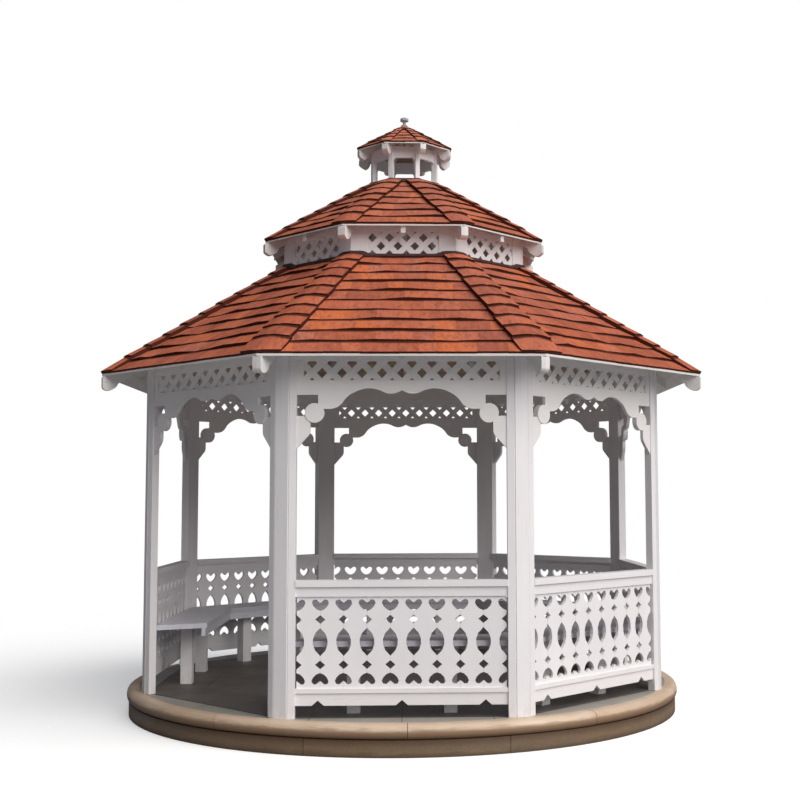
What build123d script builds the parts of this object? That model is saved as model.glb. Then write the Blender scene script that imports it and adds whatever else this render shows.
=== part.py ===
from build123d import *
from math import cos, radians, sin, tan
import os

# Octagonal timber garden gazebo on a round stone plinth. Millimetres, +Z up, the origin at
# the centre of the plinth's underside, and the front bay facing -Y.

# Plan of the octagon
SIDES = 8
SECTOR = 360 / SIDES
HALF_SECTOR = SECTOR / 2
TO_CORNER = 1 / cos(radians(HALF_SECTOR))
ACROSS_FLATS = 4000
WALL_APOTHEM = ACROSS_FLATS / 2

# Round stone plinth
PLINTH_HEIGHT = 215
PLINTH_RADIUS = 2235
COPING_HEIGHT = 86
COPING_NOSE = 34
NOSE_STEPS = 3
GROOVE_HEIGHT = 7
GROOVE_DEPTH = 22
BASE_RADIUS = 2220
FLOOR_APOTHEM = 1955

# Posts, each a solid of five-sided plan with a face along each of its two bays
POST_NOSE = 96
POST_WING = 58
POST_THICKNESS = 60
POST_HEIGHT = 2540
POST_GROOVE = 9
GROOVE_SINK = 6

# Heights above the floor in each bay, and the clear width between two posts
RAIL_CAP_TOP = 922
RAIL_CAP_DEPTH = 45
TOP_RAIL_FOOT = 811
BOTTOM_RAIL_TOP = 199
BOTTOM_RAIL_FOOT = 169
SKIRT_FOOT = 86
BOARDS_PER_BAY = 9
BOARD_THICKNESS = 22
BOARD_CLEARANCE = 9

# Lattice frieze and sawn arch under it
FRIEZE_TOP = 2460
PLATE_TOP = 2590
PLATE_THICKNESS = 60
LATTICE_TOP = 2414
LATTICE_FOOT = 2281
LATTICE_PITCH = 137
LATTICE_HOLE = 71
FRIEZE_THICKNESS = 34
ARCH_THICKNESS = 26
ARCH_OUTER = WALL_APOTHEM - 8

# Bench round the inside
SEAT_HEIGHT = 505
SEAT_THICKNESS = 38
SEAT_OUTER = 1908
SEAT_INNER = 1535
APRON_DEPTH = 60
LEG_SIDE = 90
LEG_OFFSET = 335
LEG_APOTHEM = 1740

# Main roof: rise over run, and the top surface at the eave
ROOF_PITCH = 0.69
EAVE_APOTHEM = 2309
EAVE_HEIGHT = 2440
ROOF_THICKNESS = 30
HIP_GAP = 2

# Clerestory, with the upper roof over it
CLERESTORY_APOTHEM = 982
CLERESTORY_FOOT = 3240
CLERESTORY_TOP = 3600
LANTERN_SILL = 3363
LANTERN_HEAD = 3540
CLERESTORY_THICKNESS = 30
CLERESTORY_PITCH = 132
CLERESTORY_HOLE = 70
CLERESTORY_ROW = 3426
CLERESTORY_SHIFT = -42
UPPER_PITCH = 0.652
UPPER_EAVE_APOTHEM = 1132
UPPER_EAVE_HEIGHT = 3579
UPPER_THICKNESS = 28
CURB_APOTHEM = 284
CURB_FOOT = 4020
CURB_TOP = 4150
CURB_THICKNESS = 28

# Cupola, an open lantern with a little roof of its own
CUPOLA_POST = 38
CUPOLA_RADIUS = 280
CUPOLA_BEAM_FOOT = 4328
CUPOLA_BEAM_TOP = 4422
CUPOLA_BRACKET = (88, 72, 24)
CUPOLA_EAVE_APOTHEM = 395
CUPOLA_EAVE_HEIGHT = 4435
CUPOLA_APEX = 4678
CUPOLA_THICKNESS = 22
FINIAL_HOLE = 18
FINIAL_TOP = 4752

# Rafters: width and depth of the hip rafters and of the common rafters of each roof, and how
# far inside the eave the common rafters end
MAIN_HIP = (62, 120)
MAIN_COMMON = (37, 60)
MAIN_SETBACK = 70
UPPER_HIP = (58, 94)
UPPER_COMMON = (37, 64)
UPPER_SETBACK = 22
CUPOLA_HIP = (50, 69)

# Sawn tails of the hip rafters: radius and height above the floor of the foot of the plumb
# end, then along the lobe under it to the rafter's straight lower edge, in two arcs
MAIN_TAIL = ((2495, 2330), (2484, 2311), (2462, 2302), (2415, 2312), (2378, 2356))
UPPER_TAIL = ((1232, 3477), (1216, 3461), (1192, 3450), (1145, 3468), (1110, 3518))
CUPOLA_TAIL = ((420, 4369), (402, 4349), (377, 4334), (349, 4350), (332, 4392))

FLOOR = PLINTH_HEIGHT
HALF_BAY = WALL_APOTHEM * tan(radians(HALF_SECTOR))
POST_SETBACK = POST_NOSE / 2 * TO_CORNER
CLEAR_HALF = HALF_BAY - POST_SETBACK - POST_WING
SEAT_JOINT = 1

os.makedirs("parts", exist_ok=True)


def write(node, shape):
    """Write one piece, or a group of like pieces, as its own file."""
    export_step(shape, f"parts/{node}.step")


def at_bay(shape, bay):
    """Turn a piece made for the front bay round to another bay."""
    return Rot(0, 0, SECTOR * bay) * shape


def ring_of(pieces, bays=range(SIDES)):
    """Repeat the pieces made for the front bay in each of the bays given."""
    return Compound([at_bay(piece, bay).solid() for bay in bays for piece in pieces])


def wall_plate(sketch, outer, thickness):
    """Plate standing in the front bay: the sketch's x runs along the bay and its y is up."""
    face_plane = Plane(origin=(0, -outer, FLOOR), x_dir=(1, 0, 0), z_dir=(0, -1, 0))
    return extrude(face_plane * sketch, amount=-thickness)


def bar(x_range, outer_inner, z_range):
    """Straight bar of the front bay between two along-bay places, apothems and heights."""
    along = x_range[1] - x_range[0]
    depth = outer_inner[0] - outer_inner[1]
    height = z_range[1] - z_range[0]
    corner = Pos(x_range[0], -outer_inner[0], FLOOR + z_range[0])
    return corner * Box(along, depth, height, align=(Align.MIN, Align.MIN, Align.MIN))


def octagon(apothem):
    """Octagon in plan with a flat side facing the front."""
    return Rot(0, 0, HALF_SECTOR) * RegularPolygon(apothem, SIDES, major_radius=False)


def sector(height, gap=0):
    """Upright wedge over the front bay, clear of its two bounding hips by half the gap."""
    reach = PLINTH_RADIUS * 2
    half_width = reach * tan(radians(HALF_SECTOR))
    back = gap / 2 / sin(radians(HALF_SECTOR))
    outline = Polyline((0, -back), (half_width, -back - reach), (-half_width, -back - reach), close=True)
    return extrude(make_face(outline), amount=height)


# Plinth: a round base course, a coping whose nose is cut in flats over a groove, and the floor
def plinth():
    base_height = PLINTH_HEIGHT - COPING_HEIGHT
    neck = base_height - GROOVE_HEIGHT
    base_line = Polyline(
        (0, 0),
        (BASE_RADIUS, 0),
        (BASE_RADIUS, neck),
        (BASE_RADIUS - GROOVE_DEPTH, neck),
        (BASE_RADIUS - GROOVE_DEPTH, base_height),
        (0, base_height),
        close=True,
    )
    base = revolve(Plane.XZ * make_face(base_line), Axis.Z)
    nose = []
    for step in range(NOSE_STEPS + 1):
        angle = radians(90 * step / NOSE_STEPS)
        out = PLINTH_RADIUS - COPING_NOSE * (1 - cos(angle))
        nose.append((out, PLINTH_HEIGHT - COPING_NOSE * (1 - sin(angle))))
    rim_line = Polyline(
        (0, base_height), (PLINTH_RADIUS, base_height), *nose, (0, PLINTH_HEIGHT), close=True
    )
    rim = revolve(Plane.XZ * make_face(rim_line), Axis.Z)
    slab = Pos(0, 0, base_height) * extrude(octagon(FLOOR_APOTHEM), amount=COPING_HEIGHT)
    return base, rim - slab, slab


base_course, coping, floor_slab = plinth()
write("plinth_base_course", base_course)
write("plinth_coping", coping)
write("floor_slab", floor_slab)


# Posts: the outer faces lie in the planes of the two bays that meet at the post, and a
# groove marks the joint between the nose board and each wing
def post():
    corner = WALL_APOTHEM * TO_CORNER
    half_angle = radians(HALF_SECTOR)
    along = (cos(half_angle), -sin(half_angle))
    inward = (-sin(half_angle), -cos(half_angle))
    nose = (POST_NOSE / 2, corner - POST_SETBACK * sin(half_angle))

    def wing_point(out, sink):
        return (nose[0] + out * along[0] + sink * inward[0], nose[1] + out * along[1] + sink * inward[1])

    side = [
        nose,
        wing_point(POST_GROOVE / 2, GROOVE_SINK),
        wing_point(POST_GROOVE, 0),
        wing_point(POST_WING, 0),
        wing_point(POST_WING, POST_THICKNESS),
    ]
    right = [(x, -y) for x, y in side]
    left = [(-x, -y) for x, y in reversed(side)]
    return Pos(0, 0, FLOOR) * extrude(make_face(Polyline(*right, *left, close=True)), amount=POST_HEIGHT)


POST = post()
for number in range(SIDES):
    write(f"post_{number + 1}", Rot(0, 0, HALF_SECTOR + SECTOR * number) * POST)


# Railing: nine sawn boards side by side, whose edges make hearts, diamonds and ovals
BOARDS_HALF = CLEAR_HALF - BOARD_CLEARANCE
BOARD_WIDTH = 2 * BOARDS_HALF / BOARDS_PER_BAY
HEART_SIDE = ((0, 0), (25, 9), (47, 30), (58, 56), (49, 75), (28, 78), (0, 55))
UPPER_HEART_FOOT = 714
LOWER_HEART_TOP = 302
DIAMOND = (70, 60)
DIAMOND_HEIGHTS = (657, 355)
OVAL_WIDTH = 102
OVAL_FOOT = 412
OVAL_TOP = 602
OVAL_STEPS = 5
NOTCH_WIDTH = 82
NOTCH_HEIGHT = 35
NOTCH_OFFSET = 565

# Outer and inner apothem of the railing's members
BOARDS_OUTER = WALL_APOTHEM - 22
SKIRT_OUTER = WALL_APOTHEM - 16
SKIRT_THICKNESS = 30
TOP_RAIL = (WALL_APOTHEM - 10, WALL_APOTHEM - 50)
BOTTOM_RAIL = (WALL_APOTHEM - 4, WALL_APOTHEM - 50)
RAIL_CAP = (WALL_APOTHEM + 6, WALL_APOTHEM - 80)


def heart(x, tip_height, turn):
    """Heart on one column, upright for turn 1 and upside down for -1."""
    left = [(-u, v) for u, v in reversed(HEART_SIDE[1:-1])]
    outline = [(x + u, tip_height + turn * v) for u, v in (*HEART_SIDE, *left)]
    return make_face(Polyline(*outline, close=True))


def diamond(x, height, width, tall):
    """Upright diamond on one column."""
    half_w = width / 2
    half_h = tall / 2
    corners = Polyline((half_w, 0), (0, half_h), (-half_w, 0), (0, -half_h), close=True)
    return Pos(x, height) * make_face(corners)


def pointed_oval(x):
    """Pointed oval: two equal arcs, in flats, that meet at top and foot."""
    half_w = OVAL_WIDTH / 2
    half_h = (OVAL_TOP - OVAL_FOOT) / 2
    radius = (half_h**2 + half_w**2) / (2 * half_w)
    right = []
    for step in range(OVAL_STEPS + 1):
        height = half_h * (2 * step / OVAL_STEPS - 1)
        right.append((max((radius**2 - height**2) ** 0.5 - radius + half_w, 0), height))
    left = [(-u, v) for u, v in reversed(right[1:-1])]
    return Pos(x, (OVAL_FOOT + OVAL_TOP) / 2) * make_face(Polyline(*right, *left, close=True))


def railing():
    boards = Pos(0, (TOP_RAIL_FOOT + BOTTOM_RAIL_TOP) / 2) * Rectangle(
        2 * BOARDS_HALF, TOP_RAIL_FOOT - BOTTOM_RAIL_TOP
    )
    for column in range(BOARDS_PER_BAY + 1):
        x = -BOARDS_HALF + column * BOARD_WIDTH
        boards -= heart(x, UPPER_HEART_FOOT, 1)
        boards -= heart(x, LOWER_HEART_TOP, -1)
        boards -= pointed_oval(x)
        for height in DIAMOND_HEIGHTS:
            boards -= diamond(x, height, *DIAMOND)
    skirt = Pos(0, (BOTTOM_RAIL_FOOT + SKIRT_FOOT) / 2) * Rectangle(
        2 * CLEAR_HALF, BOTTOM_RAIL_FOOT - SKIRT_FOOT
    )
    for x in (-NOTCH_OFFSET, 0, NOTCH_OFFSET):
        skirt -= diamond(x, SKIRT_FOOT, NOTCH_WIDTH, 2 * NOTCH_HEIGHT)
    span = (-CLEAR_HALF, CLEAR_HALF)
    cap_foot = RAIL_CAP_TOP - RAIL_CAP_DEPTH
    panel = wall_plate(boards, BOARDS_OUTER, BOARD_THICKNESS)
    panel += wall_plate(skirt, SKIRT_OUTER, SKIRT_THICKNESS)
    panel += bar(span, TOP_RAIL, (TOP_RAIL_FOOT, cap_foot))
    panel += bar(span, BOTTOM_RAIL, (BOTTOM_RAIL_FOOT, BOTTOM_RAIL_TOP))
    panel += bar(span, RAIL_CAP, (cap_foot, RAIL_CAP_TOP))
    return panel


RAILING = railing()
for bay in range(SIDES - 1):
    write(f"railing_{bay + 1}", at_bay(RAILING, bay))


# Frieze: diagonal laths in a frame, and under it a sawn arch with a disc and a bracket
def lattice_panel(frame, window, laths, outer, thickness):
    """Framed lattice panel of the front bay.

    The window is given by its half width, foot and head; the laths by their pitch, the size of
    the openings between them, and the place along the bay and height of one full opening.
    """
    half, foot, top = window
    pitch, hole, first, row_height = laths
    clip = Pos(0, (foot + top) / 2) * Rectangle(2 * half, top - foot)
    columns = int(half / pitch) + 2
    rows = int((top - foot) / pitch) + 2
    panel = frame
    for row in range(-2 * rows, 2 * rows + 1):
        height = row_height + row * pitch / 2
        for column in range(-columns, columns + 1):
            x = first + (column + (row % 2) / 2) * pitch
            if abs(x) > half + hole / 2 or not foot - hole / 2 < height < top + hole / 2:
                continue
            cut = diamond(x, height, hole, hole) & clip
            if cut:
                panel -= cut
    return wall_plate(panel, outer, thickness)


LATTICE_ROW = 2331
LATTICE_HALF = 672


def frieze():
    frame = Pos(0, (LATTICE_FOOT + FRIEZE_TOP) / 2) * Rectangle(
        2 * CLEAR_HALF, FRIEZE_TOP - LATTICE_FOOT
    )
    return lattice_panel(
        frame,
        (LATTICE_HALF, LATTICE_FOOT + 2, LATTICE_TOP),
        (LATTICE_PITCH, LATTICE_HOLE, 0, LATTICE_ROW),
        ARCH_OUTER,
        FRIEZE_THICKNESS,
    )


DISC = (597, 2056)
DISC_RADIUS = 67
DISC_FLATS = 24
DISC_THICKNESS = 40
SQUARE_HOLE = (573, 2035, 2181)
SCALLOP = ((0, 2214), (62, 2189), (138, 2206))
CREST = ((138, 2206), (232, 2225), (325, 2199))
SHOULDER = ((325, 2199), (374, 2168), (407, 2128))
HOLLOW = ((407, 2128), (441, 2098), (486, 2084))
LOBE = ((625, 1945), (629, 1916), (645, 1893))
LOBE_TOP = 2020
ARCH_FOOT = 1810


def arch():
    """Half of the arch is drawn from the bay's middle to the post, then mirrored."""
    x, low, high = SQUARE_HOLE
    middle = DISC[0]
    step = Polyline(HOLLOW[2], (middle, HOLLOW[2][1]), (middle, LOBE_TOP), (LOBE[0][0], LOBE_TOP), LOBE[0])
    foot = Polyline(
        LOBE[2], (CLEAR_HALF, ARCH_FOOT), (CLEAR_HALF, LATTICE_FOOT), (0, LATTICE_FOOT), SCALLOP[0]
    )
    arcs = [ThreePointArc(*points) for points in (SCALLOP, CREST, SHOULDER, HOLLOW, LOBE)]
    board = make_face([*arcs[:4], step, arcs[4], foot])
    board -= Pos(x, low) * Rectangle(CLEAR_HALF - x, high - low, align=(Align.MIN, Align.MIN))
    disc = Pos(*DISC) * RegularPolygon(DISC_RADIUS, DISC_FLATS)
    half = wall_plate(board, ARCH_OUTER, ARCH_THICKNESS)
    half += wall_plate(disc, ARCH_OUTER + 7, DISC_THICKNESS)
    return half + mirror(half, about=Plane.YZ)


FRIEZE = frieze()
ARCH = arch()
for bay in range(SIDES):
    write(f"frieze_lattice_{bay + 1}", at_bay(FRIEZE, bay))
    write(f"sawn_arch_{bay + 1}", at_bay(ARCH, bay))


# Bench: a plank seat with an apron in each railed bay, on square legs
def bench():
    height = FLOOR + SEAT_HEIGHT
    ring = extrude(octagon(SEAT_OUTER) - octagon(SEAT_INNER), amount=SEAT_THICKNESS)
    ring += Pos(0, 0, -APRON_DEPTH) * extrude(
        octagon(SEAT_INNER + 40) - octagon(SEAT_INNER + 12), amount=APRON_DEPTH
    )
    seat = (Pos(0, 0, height - SEAT_THICKNESS) * ring) & sector(height * 2, SEAT_JOINT)
    leg_top = SEAT_HEIGHT - SEAT_THICKNESS
    half = LEG_SIDE / 2
    legs = [
        bar((x - half, x + half), (LEG_APOTHEM + half, LEG_APOTHEM - half), (0, leg_top))
        for x in (-LEG_OFFSET, LEG_OFFSET)
    ]
    return seat, legs


seat, legs = bench()
railed_bays = range(SIDES - 1)
write("bench_seat", ring_of([seat], railed_bays))
write("bench_legs", ring_of(legs, railed_bays))


# Roofs: eight flat panels with mitred hips, a rafter under each hip and one under each bay
def roof_height(apothem, eave_apothem, eave_height, pitch):
    """Height of the roof's top surface above the floor at an apothem."""
    return eave_height + (eave_apothem - apothem) * pitch


def roof_panels(eave_apothem, eave_height, top_apothem, pitch, thickness):
    top_height = roof_height(top_apothem, eave_apothem, eave_height, pitch)
    section = Polyline(
        (-eave_apothem, eave_height),
        (-top_apothem, top_height),
        (-top_apothem, top_height - thickness),
        (-eave_apothem, eave_height - thickness),
        close=True,
    )
    slab = extrude(Plane.YZ * make_face(section), amount=eave_apothem, both=True)
    panel = (Pos(0, 0, FLOOR) * slab) & sector(2 * FINIAL_TOP, HIP_GAP)
    return ring_of([panel])


def radial_plate(outline, width, azimuth):
    """Plate standing in a radial plane, drawn with radius and height above the floor."""
    standing = Plane(origin=(0, 0, FLOOR), x_dir=(0, -1, 0), z_dir=(-1, 0, 0))
    plate = extrude(standing * outline, amount=width / 2, both=True)
    return Rot(0, 0, azimuth) * plate


def carved_edge(points):
    """Edges of arcs, each through three successive points."""
    return [ThreePointArc(*points[i : i + 3]) for i in range(0, len(points) - 2, 2)]


def hip_rafter(size, tail, foot, inner, slope):
    """Rafter under one hip, whose tail is sawn to a lobe under a plumb end.

    The foot is the radius and height of the roof's underside at the hip's outer end, and inner
    the radius at which the rafter stops.
    """
    width, depth = size
    end = tail[0][0]
    backing = width / 2 * sin(radians(HALF_SECTOR)) * slope * TO_CORNER

    def top(radius):
        return foot[1] + (foot[0] - radius) * slope - backing

    back = Polyline(tail[-1], (inner, top(inner) - depth), (inner, top(inner)), (end, top(end)), tail[0])
    return radial_plate(make_face([*carved_edge(tail), back]), width, HALF_SECTOR)


def common_rafter(size, setback, eave, inner, slope):
    """Straight rafter under the middle of a bay, cut plumb inside the eave."""
    width, depth = size
    eave_apothem, underside = eave
    end = eave_apothem - setback

    def top(apothem):
        return underside + (eave_apothem - apothem) * slope

    outline = Polyline(
        (end, top(end) - depth), (inner, top(inner) - depth), (inner, top(inner)), (end, top(end)), close=True
    )
    return radial_plate(make_face(outline), width, 0)


def rafters(eave, hip, common, pitch, inner_apothem, seats):
    """Hip rafters under the eight hips and common rafters under the middles of the bays.

    The eave is the apothem and height of the roof's underside; hip gives the size and the tail
    of a hip rafter, common the size and the setback of a common one. The rafters butt against
    the inner octagon, and are notched over the pieces they sit on.
    """
    corner = (eave[0] * TO_CORNER, eave[1])
    core = extrude(octagon(inner_apothem), amount=FLOOR + FINIAL_TOP)
    hip_piece = hip_rafter(*hip, corner, inner_apothem, pitch / TO_CORNER) - core
    common_piece = common_rafter(*common, eave, inner_apothem / TO_CORNER, pitch) - core
    for seat_piece in seats:
        hip_piece -= seat_piece
        common_piece -= seat_piece
    return ring_of([hip_piece, common_piece])


PLATE = bar(
    (-CLEAR_HALF, CLEAR_HALF),
    (ARCH_OUTER, ARCH_OUTER - PLATE_THICKNESS),
    (FRIEZE_TOP, PLATE_TOP),
)
FIRST_POST = Rot(0, 0, HALF_SECTOR) * POST
write("wall_plates", ring_of([PLATE]))
main_eave = (EAVE_APOTHEM, EAVE_HEIGHT - ROOF_THICKNESS)
main_seats = (PLATE, FIRST_POST)
write(
    "main_rafters",
    rafters(
        main_eave,
        (MAIN_HIP, MAIN_TAIL),
        (MAIN_COMMON, MAIN_SETBACK),
        ROOF_PITCH,
        CLERESTORY_APOTHEM,
        main_seats,
    ),
)
write(
    "main_roof",
    roof_panels(EAVE_APOTHEM, EAVE_HEIGHT, CLERESTORY_APOTHEM, ROOF_PITCH, ROOF_THICKNESS),
)


# Clerestory: eight short lattice walls that meet at the corners
LANTERN_HALF = 277


def clerestory():
    half = CLERESTORY_APOTHEM * tan(radians(HALF_SECTOR))
    frame = Pos(0, (CLERESTORY_FOOT + CLERESTORY_TOP) / 2) * Rectangle(
        2 * half, CLERESTORY_TOP - CLERESTORY_FOOT
    )
    wall = lattice_panel(
        frame,
        (LANTERN_HALF, LANTERN_SILL, LANTERN_HEAD),
        (CLERESTORY_PITCH, CLERESTORY_HOLE, CLERESTORY_SHIFT, CLERESTORY_ROW),
        CLERESTORY_APOTHEM,
        CLERESTORY_THICKNESS,
    )
    return wall & sector(2 * FINIAL_TOP, HIP_GAP)


write("clerestory_walls", ring_of([clerestory()]))
wall_ring = Pos(0, 0, FLOOR + CLERESTORY_FOOT) * extrude(
    octagon(CLERESTORY_APOTHEM) - octagon(CLERESTORY_APOTHEM - CLERESTORY_THICKNESS),
    amount=CLERESTORY_TOP - CLERESTORY_FOOT,
)
upper_eave = (UPPER_EAVE_APOTHEM, UPPER_EAVE_HEIGHT - UPPER_THICKNESS)
write(
    "upper_rafters",
    rafters(
        upper_eave,
        (UPPER_HIP, UPPER_TAIL),
        (UPPER_COMMON, UPPER_SETBACK),
        UPPER_PITCH,
        CURB_APOTHEM,
        (wall_ring,),
    ),
)
write(
    "upper_roof",
    roof_panels(UPPER_EAVE_APOTHEM, UPPER_EAVE_HEIGHT, CURB_APOTHEM, UPPER_PITCH, UPPER_THICKNESS),
)


# Cupola: eight slender posts under a ring beam, with a pointed roof and a finial
def cupola():
    half = CUPOLA_POST / 2
    stick = Pos(0, -CUPOLA_RADIUS, FLOOR + CURB_FOOT) * Box(
        CUPOLA_POST,
        CUPOLA_POST,
        CUPOLA_BEAM_TOP - CURB_FOOT,
        align=(Align.CENTER, Align.CENTER, Align.MIN),
    )
    apothem = (CUPOLA_RADIUS + half * 0.6) / TO_CORNER
    toe, crown, drop = CUPOLA_BRACKET
    beam_foot = CUPOLA_BEAM_FOOT - drop
    beam = Pos(0, 0, FLOOR + beam_foot) * extrude(
        octagon(apothem) - octagon(apothem - CURB_THICKNESS), amount=CUPOLA_BEAM_TOP - beam_foot
    )
    relief = Polyline(
        (-toe, beam_foot), (-crown, CUPOLA_BEAM_FOOT), (crown, CUPOLA_BEAM_FOOT), (toe, beam_foot), close=True
    )
    for number in range(SIDES):
        beam -= at_bay(wall_plate(make_face(relief), apothem + half, 2 * CUPOLA_POST), number)
    curb = Pos(0, 0, FLOOR + CURB_FOOT) * extrude(
        octagon(CURB_APOTHEM) - octagon(CURB_APOTHEM - CURB_THICKNESS), amount=CURB_TOP - CURB_FOOT
    )
    frame = beam + curb
    for number in range(SIDES):
        frame += Rot(0, 0, HALF_SECTOR + SECTOR * number) * stick
    return frame


CUPOLA_FRAME = cupola()
CUPOLA_PITCH = (CUPOLA_APEX - CUPOLA_EAVE_HEIGHT) / CUPOLA_EAVE_APOTHEM
write("cupola_frame", CUPOLA_FRAME)
write(
    "cupola_roof",
    roof_panels(CUPOLA_EAVE_APOTHEM, CUPOLA_EAVE_HEIGHT, FINIAL_HOLE, CUPOLA_PITCH, CUPOLA_THICKNESS),
)
cupola_corner = (CUPOLA_EAVE_APOTHEM * TO_CORNER, CUPOLA_EAVE_HEIGHT - CUPOLA_THICKNESS)
hips_meet = CUPOLA_HIP[0] / 2 / sin(radians(HALF_SECTOR))
cupola_rafter = (
    hip_rafter(CUPOLA_HIP, CUPOLA_TAIL, cupola_corner, hips_meet + HIP_GAP, CUPOLA_PITCH / TO_CORNER)
    - CUPOLA_FRAME
)
write("cupola_rafters", ring_of([cupola_rafter]))


# Finial: an eight-sided stem through the apex, with a collar on the roof and a pointed cap
FINIAL_FOOT = 4600
STEM_HALF = 14
COLLAR_HALF = 28
COLLAR_HEIGHT = 16
CAP_FOOT = 4722
CAP_HALF = 35
CAP_RIM = 20


def finial():
    collar_foot = CUPOLA_APEX - FINIAL_HOLE * CUPOLA_PITCH
    base = Pos(0, 0, FLOOR)
    stem = base * Pos(0, 0, FINIAL_FOOT) * extrude(octagon(STEM_HALF), amount=CAP_FOOT - FINIAL_FOOT)
    collar = base * Pos(0, 0, collar_foot) * extrude(octagon(COLLAR_HALF), amount=COLLAR_HEIGHT)
    cap = base * Pos(0, 0, CAP_FOOT) * extrude(octagon(CAP_HALF), amount=CAP_RIM)
    point = base * loft(
        [
            Pos(0, 0, CAP_FOOT + CAP_RIM) * octagon(CAP_HALF),
            Pos(0, 0, FINIAL_TOP) * octagon(STEM_HALF),
        ]
    )
    return stem + collar + cap + point


write("finial", finial())
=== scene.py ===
import bpy
import numpy as np
from mathutils import Matrix, Vector


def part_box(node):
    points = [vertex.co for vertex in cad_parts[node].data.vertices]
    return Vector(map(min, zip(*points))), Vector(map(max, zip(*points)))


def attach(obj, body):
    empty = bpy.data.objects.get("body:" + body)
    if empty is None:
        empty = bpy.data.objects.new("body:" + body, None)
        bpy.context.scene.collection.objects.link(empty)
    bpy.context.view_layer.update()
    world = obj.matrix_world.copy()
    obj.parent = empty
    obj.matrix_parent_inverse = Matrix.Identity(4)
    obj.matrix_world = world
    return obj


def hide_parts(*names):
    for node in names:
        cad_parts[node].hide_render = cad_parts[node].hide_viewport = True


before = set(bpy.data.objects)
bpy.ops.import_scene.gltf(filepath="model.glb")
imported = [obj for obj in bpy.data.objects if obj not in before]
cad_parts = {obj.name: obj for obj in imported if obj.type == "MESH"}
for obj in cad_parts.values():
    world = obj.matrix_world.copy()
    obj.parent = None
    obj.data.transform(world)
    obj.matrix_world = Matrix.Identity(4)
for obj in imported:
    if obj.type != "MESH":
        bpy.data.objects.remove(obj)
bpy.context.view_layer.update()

# Camera: a standing person's eye in front of the middle bay, a little to its right, about half
# a metre above the railing's top and tipped up at the roof. 54.8 mm lens.
EYE = Vector((0.0796, -10.311, 1.688))
EYE_RIGHT = Vector((0.999525, -0.030676, -0.002814))
EYE_UP = Vector((0.000379, -0.079090, 0.996867))
LENS = 54.777
SENSOR_WIDTH = 36.0
LENS_SHIFT = (-0.0640, 0.0020)
CLIP_END = 200.0


def new_object(name, data):
    """New object with the data given, linked to the scene."""
    item = bpy.data.objects.new(name, data)
    bpy.context.scene.collection.objects.link(item)
    return item


camera_data = bpy.data.cameras.new("viewpoint")
camera_data.lens = LENS
camera_data.sensor_width = SENSOR_WIDTH
camera_data.shift_x, camera_data.shift_y = LENS_SHIFT
camera_data.clip_end = CLIP_END
camera = new_object("viewpoint", camera_data)
eye_axes = Matrix((EYE_RIGHT, EYE_UP, EYE_RIGHT.cross(EYE_UP))).transposed()
camera.matrix_world = Matrix.Translation(EYE) @ eye_axes.to_4x4()
bpy.context.scene.camera = camera
bpy.context.scene.view_settings.view_transform = "Standard"


# Studio: a white sky seen by the camera, a dimmer one that fills the shadows, a soft sun from
# the front right, and a pale level floor that turns to the sky's white away from the plinth.
SKY_FILL = (0.82, 0.93, 1.12, 1.0)
SKY_FILL_STRENGTH = 0.10
SKY_SEEN = (1.0, 1.0, 1.0, 1.0)
SUN_AZIMUTH = 41.0
SUN_ELEVATION = 39.0
SUN_STRENGTH = 3.4
SUN_SOFTNESS = 66.0
SUN_COLOUR = (1.0, 0.975, 0.95)
FLOOR_TONE = (0.37, 0.37, 0.38, 1.0)
FLOOR_SEEN = (1.36, 1.36, 1.36, 1.0)
FLOOR_HALF = 60.0
FLOOR_FADE = {"From Min": 3.0, "From Max": 9.0, "To Min": 0.35}


def connect(tree, inputs, values):
    """Give the inputs their values: a socket is linked, and a constant is set."""
    for label, value in values.items():
        if isinstance(value, bpy.types.NodeSocket):
            tree.links.new(value, inputs[label])
        else:
            inputs[label].default_value = value


def add_node(tree, kind, values=None, **settings):
    """Outputs of a new shader node, with its settings and the values of its inputs."""
    node = tree.nodes.new("ShaderNode" + kind)
    for label, setting in settings.items():
        setattr(node, label, setting)
    connect(tree, node.inputs, values or {})
    return node.outputs


def figure(tree, operation, first, second=0.0):
    """Math node; first and second are sockets or numbers."""
    return add_node(tree, "Math", {0: first, 1: second}, operation=operation)[0]


def mixed(tree, factor, first, second):
    """Colour mix; first and second are sockets or RGBA values, factor a socket or a number."""
    return add_node(tree, "Mix", {"Factor": factor, "A": first, "B": second}, data_type="RGBA")["Result"]


world = bpy.data.worlds.new("studio_sky")
bpy.context.scene.world = world
world.use_nodes = True
tree = world.node_tree
tree.nodes.clear()
fill = add_node(tree, "Background", {"Color": SKY_FILL, "Strength": SKY_FILL_STRENGTH})
seen = add_node(tree, "Background", {"Color": SKY_SEEN, "Strength": 1.0})
path = add_node(tree, "LightPath")
direct = figure(tree, "MAXIMUM", path["Is Camera Ray"], path["Is Transmission Ray"])
sky = add_node(tree, "MixShader", {"Fac": direct, 1: fill[0], 2: seen[0]})
add_node(tree, "OutputWorld", {"Surface": sky[0]})

sun_data = bpy.data.lights.new("soft_sun", "SUN")
sun_data.energy = SUN_STRENGTH
sun_data.angle = np.radians(SUN_SOFTNESS)
sun_data.color = SUN_COLOUR
sun = new_object("soft_sun", sun_data)
azimuth, elevation = np.radians(SUN_AZIMUTH), np.radians(SUN_ELEVATION)
sun_from = Vector((
    np.sin(azimuth) * np.cos(elevation), -np.cos(azimuth) * np.cos(elevation), np.sin(elevation)
))
sun.rotation_mode = "QUATERNION"
sun.rotation_quaternion = sun_from.to_track_quat("Z", "Y")

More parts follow.
